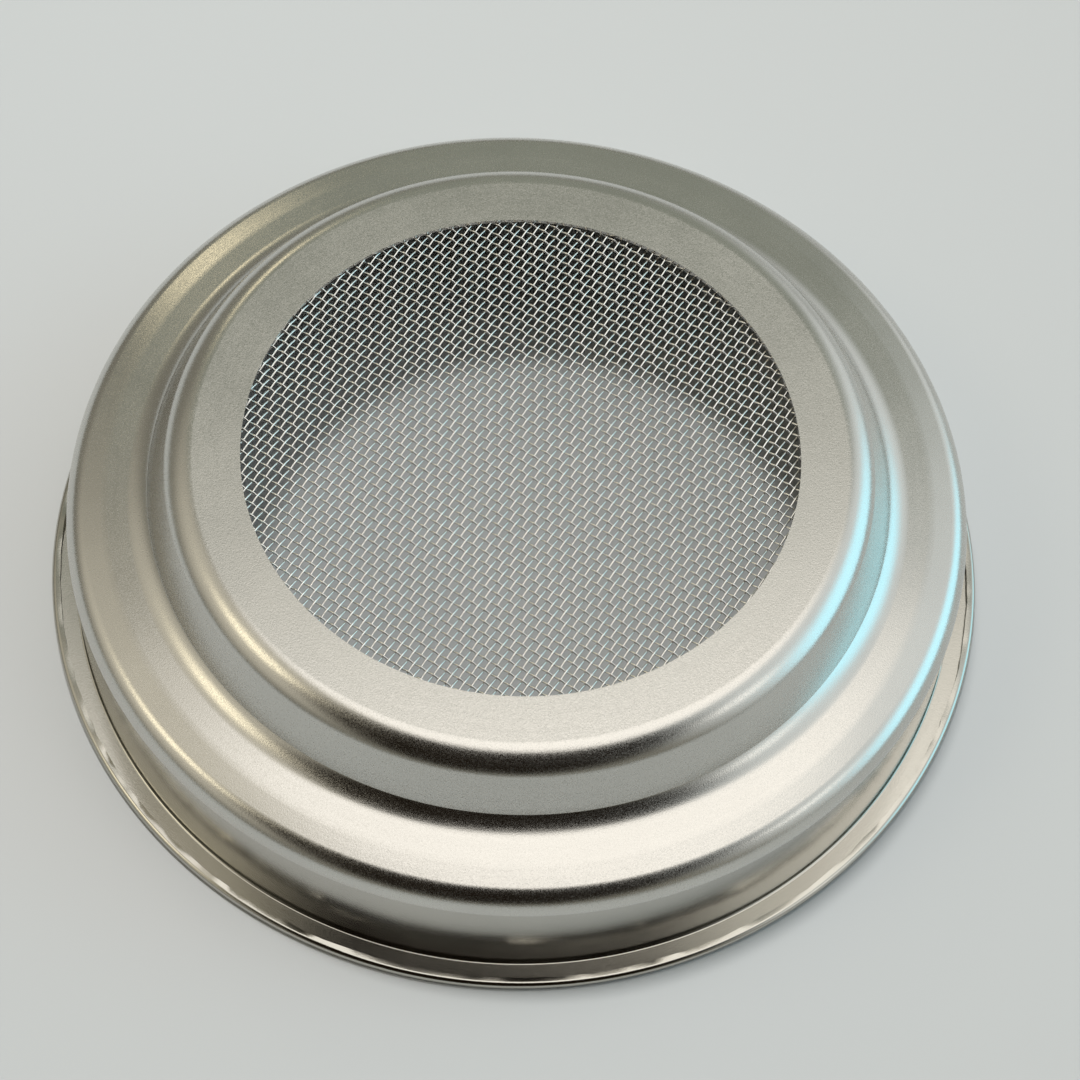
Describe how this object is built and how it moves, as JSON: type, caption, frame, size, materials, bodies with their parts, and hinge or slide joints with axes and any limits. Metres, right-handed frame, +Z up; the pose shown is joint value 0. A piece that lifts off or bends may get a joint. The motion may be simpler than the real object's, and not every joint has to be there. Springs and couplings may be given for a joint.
{
  "type": "grease container strainer insert",
  "caption": "Stepped round cup of drawn stainless sheet with a rolled rim, its end plate pierced by a round window of woven wire cloth that strains poured fat.",
  "frame": {"origin": "middle of the circle that the rolled rim rests on, with the insert standing rim down", "axes": "+Z up along the cup's axis, from the rim to the end plate with the wire cloth"},
  "size_m": [0.13, 0.13, 0.0293],
  "materials": {
    "satin_stainless": "satin, lightly brushed round the axis",
    "bright_wire": "bright drawn wire",
    "plain_stainless": "plain mill finish"
  },
  "bodies": {
    "root": {"strainer_cup": "satin_stainless", "mesh_screen": "bright_wire", "retaining_ring": "plain_stainless"}
  },
  "joints": []
}
